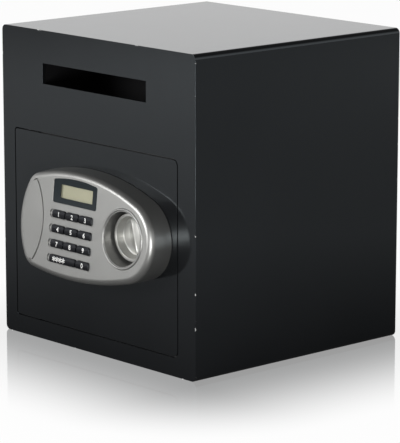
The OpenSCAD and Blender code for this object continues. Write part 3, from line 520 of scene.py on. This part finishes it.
# Boltwork
# Two ground bolts are pressed on a zinc-plated carriage that slides on studs and through an
# angle with two bores. A crank on the knob's spindle throws it a quarter turn.
zinc = surface("zinc_plate", (0.44, 0.45, 0.46), drift=0.14, rough=0.34, rough_drift=0.1,
               grain=180, relief=0.08, metal=1, broad=26)
ground_steel = surface("ground_steel", (0.62, 0.62, 0.63), drift=0.05, rough=0.2, grain=1500, relief=0.1,
                       metal=1, stretch=(1, 6, 6))
bush_brass = surface("bush_brass", (0.6, 0.44, 0.2), drift=0.1, rough=0.3, grain=900, relief=0.1, metal=1)
for node, name, body, radius in (("bolt_guide", "guide_angle", "door", 0.3),
                                 ("bolt_cam", "crank", "knob", 0.3),
                                 ("bolt_carriage", "carriage", "boltwork", 0.3),
                                 ("override_cam", "override_crank", "override", 0.2)):
    fit_eased(node, name, radius, zinc, body, "zinc_steel")
fit_eased("guide_studs", "stud_pair", 0.3, turned_steel, "door", "bare_steel")
fit_eased("locking_bolts", "bolt_pair", 1.2, ground_steel, "boltwork", "bright_steel")
fit_eased("knob_spindle", "spindle", 0.3, turned_steel, "knob", "bare_steel")
fit_eased("spindle_bush", "bush", 0.3, bush_brass, "door", "bush_brass")

# Solenoid, its plunger and return spring
# A zinc-plated yoke stands over the carriage and holds a turned steel plunger in its bore. A
# coil of spring wire pushes the plunger out.
fit_eased("solenoid_body", "solenoid_yoke", 0.5, zinc, "door", "zinc_steel")
fit_eased("solenoid_plunger", "plunger_pin", 0.3, ground_steel, "plunger", "bright_steel")


def spring_tree():
    """A coil of round wire along Z, with its height, radius, wire and turns as inputs."""
    tree, given = new_tree("wire_coil", ("Start", "Geometry"), ("Height", "Float"),
                           ("Radius", "Float"), ("Wire", "Float"), ("Turns", "Float"))
    path = put(tree, "GeometryNodeCurveSpiral", {
        "Resolution": 24, "Rotations": given["Turns"], "Start Radius": given["Radius"],
        "End Radius": given["Radius"], "Height": given["Height"]}).outputs[0]
    section = put(tree, "GeometryNodeCurvePrimitiveCircle", {
        "Resolution": 10, "Radius": given["Wire"]}).outputs[0]
    coil = put(tree, "GeometryNodeCurveToMesh", {
        "Curve": path, "Profile Curve": section, "Fill Caps": True}).outputs[0]
    return end_tree(tree, coil, given["Finish"])


low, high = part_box("plunger_spring")
wire = 0.35 * MM
coil = new_piece("coil_start", bpy.data.meshes.new("coil_start"), turned_steel)
grow(coil, spring_tree(), {"Height": high.z - low.z - 2 * wire, "Radius": (high.x - low.x) / 2 - wire,
                           "Wire": wire, "Turns": 6.0, "Finish": turned_steel})
coil = applied(coil, "return_spring")
coil.data.transform(Matrix.Translation(((low.x + high.x) / 2, (low.y + high.y) / 2, low.z + wire)))
coil = shaded(coil, 60)
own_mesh(coil)
fitted(coil, "door", "bare_steel", "plunger_spring")

# Battery box, batteries and lid
# A moulded tray let into the pan holds four sleeved cells, head to tail, under a lid that
# lifts off. The reset button is beside it.
moulded_black = surface("moulded_black", (0.018, 0.018, 0.02), drift=0.15, rough=0.5,
                        grain=1600, relief=0.35)
moulded_red = surface("moulded_red", (0.45, 0.02, 0.02), rough=0.3, grain=900, relief=0.1)
for node, name, body, radius in (("battery_box", "cell_tray", "door", 0.4),
                                 ("battery_lid", "tray_lid", "battery_lid", 0.6),
                                 ("reset_switch", "switch_body", "door", 0.3)):
    fit_eased(node, name, radius, moulded_black, body, "black_plastic")
fit_eased("reset_button", "reset_cap", 0.4, moulded_red, "reset_button", "red_plastic")
sleeve = surface("cell_sleeve", (0.3, 0.14, 0.05), drift=0.12, rough=0.24, grain=500, relief=0.05, coat=0.4)
low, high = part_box("batteries")
cell_half, cell_r, cell_edge, cell_nub, cell_pitch = (high.x - low.x) / 2 / MM, 7.25, 0.8, 1.2, 15.0
cell = lathe("cell", [(0, -cell_half), (5.2, -cell_half), (5.6, -cell_half + 0.3)]
             + curve_of((cell_r - cell_edge, -cell_half + 0.9), cell_edge, -90, 0, 4)
             + curve_of((cell_r - cell_edge, cell_half - cell_nub - cell_edge), cell_edge, 0, 90, 4)
             + [(2.9, cell_half - cell_nub), (2.7, cell_half - 0.3), (2.4, cell_half), (0, cell_half)])
first_cell = (low + high) / (2 * MM) - Vector((0, 0, 1.5 * cell_pitch))
cells = repeated("cell_row", shaded(new_piece("cell", cell, sleeve)),
                 [first_cell + Vector((0, 0, k * cell_pitch)) for k in range(4)], sleeve,
                 stand=(0, math.pi / 2, 0), half_turns=True)
fitted(cells, "door", "cell_sleeve", "batteries")

# Lock housing
# An egg-shaped shell moulded in silver-grey plastic, its face tilted up a little, with a round
# recess for the knob and a shallow stadium for each row of keys. Screwed on from behind.
face_tilt, foot_y, wall, front_r = 6, -166, 3, 7.5
knob_place = Matrix.Translation(joints["knob_turn"]["pos_m"])
face = knob_place @ Matrix.Rotation(math.radians(90 - face_tilt), 4, "X")
to_front = knob_place @ Matrix.Rotation(math.pi / 2, 4, "X")
egg_corners = [Vector((0, -2.5)), Vector((-158, 32.5)), Vector((-158, -35))]
egg_corner_rs, egg_sweeps = (50, 24, 24), (287, 93, 415)
egg_corner_steps, egg_sweep_steps = (36, 16, 16), (24, 14, 24)
quarter = [math.pi / 8 * k for k in range(5)]
satin_grey = surface("satin_grey", (0.28, 0.28, 0.272), drift=0.03, rough=0.37, grain=2200, relief=0.3,
                     depth=0.03, metal=0.85)


def sweep_centre(i):
    """Centre of the large arc that two corner circles touch from inside."""
    j = (i + 1) % 3
    d1, d2 = egg_sweeps[i] - egg_corner_rs[i], egg_sweeps[i] - egg_corner_rs[j]
    along = egg_corners[j] - egg_corners[i]
    a = (along.length_squared + d1 * d1 - d2 * d2) / (2 * along.length)
    e = along.normalized()
    return egg_corners[i] + a * e + math.sqrt(d1 * d1 - a * a) * Vector((-e.y, e.x))


def egg(inset):
    """The housing's outline, drawn in by an inset, from the knob's axis."""
    points = []
    for i in range(3):
        j, before, after = (i + 1) % 3, sweep_centre((i + 2) % 3), sweep_centre(i)
        a0, a1, a2 = [math.atan2(v.y, v.x) for v in (
            egg_corners[i] - before, egg_corners[i] - after, egg_corners[j] - after)]
        a1 += math.tau * math.ceil((a0 - a1) / math.tau)
        a2 += math.tau * math.ceil((a1 - a2) / math.tau)
        for centre, r, start, end, steps in (
                (egg_corners[i], egg_corner_rs[i], a0, a1, egg_corner_steps[i]),
                (after, egg_sweeps[i], a1, a2, egg_sweep_steps[i])):
            for k in range(steps):
                t = start + (end - start) * k / steps
                points.append(centre + (r - inset) * Vector((math.cos(t), math.sin(t))))
    return points


def on_face(plan, z):
    """A plan on the tilted face, raised by z."""
    return [face @ (Vector((p[0], p[1], z)) * MM) for p in plan]


def on_door(plan, y):
    """A plan that stands upright, at the depth y."""
    return [Vector((knob_x + p[0], y, knob_z + p[1])) * MM for p in plan]


def egg_solid(name, foot, top, inset, fillet, steps):
    """Upright sides and a rounded front edge on the tilted face."""
    turns = [math.pi / 2 * k / steps for k in range(steps + 1)]
    rings = [on_face(egg(inset + fillet * (1 - math.cos(a))), top - fillet * (1 - math.sin(a)))
             for a in turns]
    return new_piece(name, skin(name, [on_door(egg(inset), foot)] + rings), satin_grey)


def grown(plan, by):
    """A convex outline moved outwards, with a sharp corner rounded on the way."""
    result = []
    for before, here, after in zip(plan[-1:] + plan[:-1], plan, plan[1:] + plan[:1]):
        start = math.atan2(before.x - here.x, here.y - before.y)
        turn = (math.atan2(here.x - after.x, after.y - here.y) - start + math.pi) % math.tau - math.pi
        steps = round(math.degrees(turn) / 12)
        for share in [k / steps for k in range(steps + 1)] if steps > 1 else [0.5]:
            t = start + turn * share
            result.append(here + by * Vector((math.cos(t), math.sin(t))))
    return result


def within_circle(plan, centre, r):
    """The part of a convex outline that lies in a circle which crosses it twice."""
    kept = []
    for here, after in zip(plan, plan[1:] + plan[:1]):
        stays, comes = (here - centre).length < r, (after - centre).length < r
        if stays:
            kept.append(here)
        if stays != comes:
            along, start = after - here, here - centre
            half, square = start.dot(along), along.length_squared
            root = math.sqrt(half * half - square * (start.length_squared - r * r))
            kept.append(here + along * ((root if stays else -root) - half) / square)
            if stays:
                leaving = len(kept)
            else:
                entry = kept[-1]
    first, last = [math.atan2(p.y - centre.y, p.x - centre.x) for p in (kept[leaving - 1], entry)]
    turn = (last - first) % math.tau
    steps = round(turn * r / 1.5)
    bow = [centre + r * Vector((math.cos(first + turn * k / steps), math.sin(first + turn * k / steps)))
           for k in range(1, steps)]
    return kept[:leaving] + bow + kept[leaving:]


def stadium(length, height, steps=14):
    """A rectangle with round ends."""
    half = (length - height) / 2
    return [Vector((side * half + height / 2 * math.cos(a), height / 2 * math.sin(a)))
            for side, first in ((1, -90), (-1, 90))
            for a in [math.radians(first + 180 * k / steps) for k in range(steps + 1)]]


def rounded_box(wide, high, r):
    """A rectangle with round corners."""
    x, y = wide / 2 - r, high / 2 - r
    return grown([Vector((-x, -y)), Vector((x, -y)), Vector((x, y)), Vector((-x, y))], r)


def moved(plan, u, v):
    """A plan moved across the face."""
    return [Vector(p) + Vector((u, v)) for p in plan]


def pocket(plan, depth, ease):
    """A cutter for a hole in the face, whose rim it rounds by a small radius."""
    rims = [(ease * (1 - math.cos(a)), -ease * (1 - math.sin(a))) for a in quarter]
    rings = [on_face(grown(plan, by), z) for by, z in [(0, -depth)] + rims + [(ease, 2.0)]]
    return new_piece("pocket", skin("pocket", rings), satin_grey)


def round_cutter(name, r, low, high, u=0.0, v=0.0, steps=48):
    """A plain round cutter along the knob's axis, or beside it by u and v."""
    place = to_front @ Matrix.Translation(Vector((u, v, 0)) * MM)
    return new_piece(name, lathe(name, [(0, low), (r, low), (r, high), (0, high)], place, steps), satin_grey)


recess_depth, recess_r, recess_fillet, clear = 26.1, 32, 1.2, 20
cover_t, cover_r, cover_in, cover_rim, cover_play, corner_r = 2.4, 83.3, 144.2, 1, 0.1, 3
cover_centre = Vector((-cover_in - cover_r, -1))
cover_core = within_circle(egg(front_r + cover_rim + corner_r), cover_centre, cover_r - corner_r)
pad = [on_face(grown(cover_core, corner_r + 2), z) for z in (-cover_t - cover_play - wall, 0)]
cavity = egg_solid("cavity", foot_y + 1, -wall, wall, front_r - wall, 5)
cavity = combined(cavity, [round_cutter("cup", recess_r + 2.2, -recess_depth - 2, clear, steps=96),
                           new_piece("pad", skin("pad", pad), satin_grey)]
                  + [round_cutter("boss", 4, -32.5, clear, u, v, 32) for u, v in housing_bosses], "cavity")
shell = combined(egg_solid("shell", foot_y, 0, 0, front_r, 12), [cavity], "shell")

bore = [(0, -recess_depth)]
bore += curve_of((recess_r - recess_fillet, recess_fillet - recess_depth), recess_fillet, -90, 0, 6)
bore += [(recess_r, 15), (0, 15)]
override_u, barrel_r = -165, 8
bores = [new_piece("bore", lathe("bore", bore, to_front, 128), satin_grey),
         round_cutter("hub", 7, -recess_depth - 4, 5),
         round_cutter("barrel_bore", barrel_r + 0.2, -33, clear, override_u)]
bores += [round_cutter("screw_bore", 1.7, -33, -19, u, v, 20) for u, v in housing_bosses]
lens_u, lens_up, lens_wide, lens_high, lens_rise, lens_sink, lens_t = -89.3, 24.9, 79.6, 27.5, 3.6, 0.6, 1.6
arch_r = (lens_wide * lens_wide / 4 + lens_rise * lens_rise) / (2 * lens_rise) - corner_r
arch_reach = math.asin((lens_wide / 2 - corner_r) / arch_r)
arch_v = lens_up + lens_high + lens_rise - corner_r - arch_r
lens_core = [Vector((lens_u - lens_wide / 2 + corner_r, lens_up + corner_r)),
             Vector((lens_u + lens_wide / 2 - corner_r, lens_up + corner_r))]
lens_core += [Vector((lens_u + arch_r * math.sin(t), arch_v + arch_r * math.cos(t)))
              for t in [arch_reach * (1 - k / 14) for k in range(29)]]
glass_u, glass_v, glass_wide, glass_high = lens_u + 2, lens_up + 14.65, 59, 16
pad_u, column, key_w, key_high, key_room = -91.5, 24.3, 22.3, 9.2, 0.35
row_long, row_high, row_depth, row_vs = 82.2, 10.6, 1.3, [11.4 - 17.8 * k for k in range(4)]
key_spots = {"key_%d" % (k + 1): (pad_u + (k % 3 - 1) * column, row_vs[k // 3], key_w) for k in range(9)}
key_spots["key_wide"] = (pad_u - column / 2, row_vs[3], key_w + column)
key_spots["key_0"] = (pad_u + column, row_vs[3], key_w)
mouths = [pocket(grown(cover_core, corner_r), cover_t + cover_play, 0.05),
          pocket(grown(lens_core, corner_r), lens_sink + lens_t, 0.3)]
mouths += [pocket(moved(stadium(row_long, row_high), pad_u, v), row_depth, 0.2) for v in row_vs]
mouths += [pocket(moved(rounded_box(w, h, r), u, v), wall + 1, 0.01) for w, h, r, u, v in
           [(glass_wide + 3, glass_high + 3, 0.5, glass_u, glass_v)]
           + [(w + 2 * key_room, key_high + 2 * key_room, 2.2, u, v) for u, v, w in key_spots.values()]]


def arc_groove(half_wide=1.1, deep=1.8, tail=7.0, keen=1.6, least=0.65, flare=110):
    """A cutter along the cover's arched edge, widest near both ends, where it hooks round and dies out."""
    edge, rings = grown(cover_core, corner_r), []
    start = min(range(len(edge)), key=lambda i: edge[i].x)
    edge = edge[start:] + edge[:start]
    for before, here, after in zip(edge[-1:] + edge[:-1], edge, edge[1:] + edge[:1]):
        share = min(1, keen - keen * (cover_r - (here - cover_centre).length) / tail)
        if share > 0.05:
            spread = half_wide * (least + abs(here.y - cover_centre.y) / flare)
            across = (after - before).normalized().orthogonal() * spread
            turns = [math.tau * k / 12 for k in range(12)]
            rings.append([face @ (Vector((*(here + across * share * math.cos(a)),
                                          deep * share * math.sin(a))) * MM) for a in turns])
    return new_piece("groove", skin("groove", rings), satin_grey)


shell = combined(shell, bores + mouths, "lock_shell")
shell = combined(shell, [arc_groove()], "lock_shell")
lip_out, lip_sunk, lip_r = 2.4, 0.4, 1.6
lip = lathe("lip", curve_of((recess_r + lip_out, -lip_sunk), lip_r, 0, 337.5, 15), face, 128, loop=True)
shell = combined(shell, [new_piece("lip", lip, satin_grey)], "lock_shell", "UNION")
fitted(shaded(shell), "door", "housing_plastic", "lock_housing")

# Gasket
# A ring of black foam rubber, die-cut to the housing's outline and pressed between the housing
# and the door.
foam = surface("foam_rubber", (0.03, 0.03, 0.03), drift=0.2, rough=0.9, grain=1800, relief=0.6, depth=0.2)
gasket = skin("gasket", [on_door(egg(inset), y) for inset, y in (
    (0.3, foot_y), (0.3, -half_deep), (6, -half_deep), (6, foot_y))], loop=True)
fitted(shaded(new_piece("gasket", gasket, foam)), "door", "gasket_rubber", "housing_gasket")

# Display
# A smoked lens with an arched top, printed black behind except for a clear window, over a
# liquid crystal on the circuit board.
printed_black = surface("printed_lens", (0.009, 0.014, 0.017), drift=0.1, rough=0.1, rough_drift=0.02,
                        grain=600, relief=0.02)
clear_lens = surface("clear_lens", (0.06, 0.065, 0.06), drift=0.05, rough=0.06, rough_drift=0.01,
                     grain=600, relief=0.02, see_through=0.1)
crystal = surface("unlit_crystal", (0.5, 0.485, 0.34), drift=0.04, rough=0.35,
                  grain=900, relief=0.05, broad=30)
solder_mask = surface("solder_mask", (0.02, 0.1, 0.04), drift=0.15, rough=0.35, grain=900, relief=0.15)


def plate(name, plan, low, high, ease, material):
    """A thin plate on the face, between two heights, with a rounded front edge."""
    rims = [(-ease * (1 - math.cos(a)), high - ease * (1 - math.sin(a))) for a in quarter]
    rings = [on_face(grown(plan, by), z) for by, z in [(0, low)] + rims]
    return new_piece(name, skin(name, rings), material)


lens_back = -lens_sink - lens_t
lens = plate("lens", grown(lens_core, corner_r - 0.15), lens_back, -lens_sink, 0.3, printed_black)
pane = moved(rounded_box(glass_wide, glass_high, 0.8), glass_u, glass_v)
opening = new_piece("opening", skin("opening", [on_face(pane, z) for z in (-4, 2)]), printed_black)
lens = shaded(combined(lens, [opening], "lens_border"))
pane_rings = [on_face(grown(pane, -0.01), z) for z in (lens_back, -lens_sink)]
fitted(lens, "door", "lens", "display_lens")
fitted(shaded(new_piece("lens_window", skin("lens_window", pane_rings), clear_lens)),
       "door", "lens", "display_lens")
dress("display_panel", crystal)
dress("circuit_board", solder_mask)

# Keys
# Gloss black caps moulded with a rounded crown, each with its number pad-printed in white, on
# the domes of a silicone mat.
dress("key_mat", surface("silicone", (0.08, 0.08, 0.085), rough=0.6, grain=1200, relief=0.2))
key_black = surface("key_black", (0.003, 0.003, 0.004), drift=0.2, rough=0.1, rough_drift=0.02,
                    grain=700, relief=0.04, gloss_tint=(0.5, 0.54, 0.6))
white_ink = surface("white_ink", (0.72, 0.72, 0.7), drift=0.05, rough=0.45, grain=1500, relief=0.1)
crown_r, key_proud, digit_high, star_high = 13.6, 1.2, 5.6, 10


def mark(text, u, v, high, bold=0.15, thick=0.12, sink=0.06, strip=0.5):
    """A printed number as a closed solid a hair above the crown, which it follows."""
    font = bpy.data.curves.new("mark", "FONT")
    font.body = text
    font.size = high * 1.38 * MM
    font.offset = bold * MM
    font.extrude = thick * MM
    flat = bpy.data.objects.new("mark", font)
    bpy.context.scene.collection.objects.link(flat)
    piece = applied(flat, "mark")
    work = bmesh.new()
    work.from_mesh(piece.data)
    corners = [[pick(vert.co[i] for vert in work.verts) for i in range(2)] for pick in (min, max)]
    bmesh.ops.translate(work, verts=work.verts, vec=[-(a + b) / 2 for a, b in zip(*corners)] + [0])
    bmesh.ops.remove_doubles(work, verts=work.verts, dist=1e-7)
    for k in range(-6, 7):
        bmesh.ops.bisect_plane(work, geom=work.verts[:] + work.edges[:] + work.faces[:],
                               plane_co=(0, k * strip * MM, 0), plane_no=(0, 1, 0))
    bmesh.ops.triangulate(work, faces=work.faces)
    for vert in work.verts:
        y = vert.co.y / MM
        drop = key_proud - crown_r + math.sqrt(crown_r ** 2 - y * y)
        vert.co = face @ (Vector((u + vert.co.x / MM, v + y, vert.co.z / MM + drop - sink)) * MM)
    work.to_mesh(piece.data)
    work.free()
    piece.data.materials.clear()
    piece.data.materials.append(white_ink)
    return piece


def joined(pieces, name):
    """Several objects made one, with each face keeping its material."""
    with bpy.context.temp_override(active_object=pieces[0], selected_editable_objects=pieces):
        bpy.ops.object.join()
    pieces[0].name = name
    return pieces[0]


for node, (u, v, w) in key_spots.items():
    cap = eased(node, node + "_cap", 0.5, key_black, steps=3)
    ink = mark("****", u - 6, v, star_high) if node == "key_wide" else mark(node[-1], u + 0.5, v, digit_high)
    fitted(joined([cap, ink], node + "_cap"), node, "key_plastic", node)

# Keyhole cover and override lock
# A plate moulded in the housing's own plastic clips over a turned steel barrel, whose plug opens
# the safe with a key.
cover = plate("keyhole_plate", grown(cover_core, corner_r - cover_play), -cover_t, 0, 0.05, satin_grey)
cover = combined(cover, [arc_groove()], "keyhole_plate")
fitted(shaded(cover), "keyhole_cover", "housing_plastic", "keyhole_cover")
fit_eased("override_barrel", "barrel", 0.4, turned_steel, "door", "bare_steel")
fit_eased("override_plug", "plug", 0.2, ground_steel, "override", "bright_steel")

# Knob
# A moulded cup in silver paint, its floor crossed by a leaf-shaped grip that rises to a thin
# crest, on a turned spindle.
silver = surface("silver_paint", (0.42, 0.42, 0.4), drift=0.05, rough=0.4, rough_drift=0.04,
                 grain=2600, relief=0.15, depth=0.02, metal=0.75)
knob_r, knob_sink, knob_high, dish_deep, dish_r, stub_r, stub = 28.5, 12.5, 13, 10, 21, 6, 5.5
foot, dish_floor = -knob_sink - knob_high, -knob_sink - dish_deep
profile = [(0, foot - stub), (stub_r, foot - stub), (stub_r, foot), (knob_r - 2, foot)]
profile += curve_of((knob_r - 1, -knob_sink - 1), 1, 0, 90, 6)
profile += curve_of((knob_r - 3.2, -knob_sink - 0.8), 0.8, 90, 168, 5)
profile += curve_of((dish_r + 0.4, dish_floor + 1.4), 1.4, -12, -90, 6) + [(0, dish_floor)]
cup = new_piece("cup", lathe("cup", profile, to_front, 128), silver)


def leaf(length, wide, z, n=28):
    """A leaf-shaped ring, pointed at both ends, turned by the grip's rest angle."""
    points = []
    for i in range(2 * n):
        side = 1 if i < n else -1
        t = side * (2 * (i % n) / n - 1)
        points.append(Vector((side * wide / 2 * (1 - t * t), t * length / 2, z)))
    turn = to_front @ Matrix.Rotation(math.radians(14), 4, "Z")
    return [turn @ (p * MM) for p in points]


grip_wide, grip_long, grip_high, crest, crest_r = 24, 48, 4.4, 1.6, 0.25
rings = [leaf(grip_long, grip_wide, dish_floor - 0.5)]
rings += [leaf(grip_long, crest + (grip_wide - crest) * (1 - t) ** 1.5, grip_high * t + dish_floor)
          for t in [k / 16 for k in range(16)]]
rings += [leaf(grip_long, crest - 1.3 * (1 - math.cos(a)),
               grip_high - crest_r + crest_r * math.sin(a) + dish_floor) for a in (0.4, 0.9, 1.4)]
grip = new_piece("grip", skin("grip", rings), silver)
fitted(shaded(combined(cup, [grip], "knob_cup", "UNION"), 40), "knob", "knob_silver", "knob")
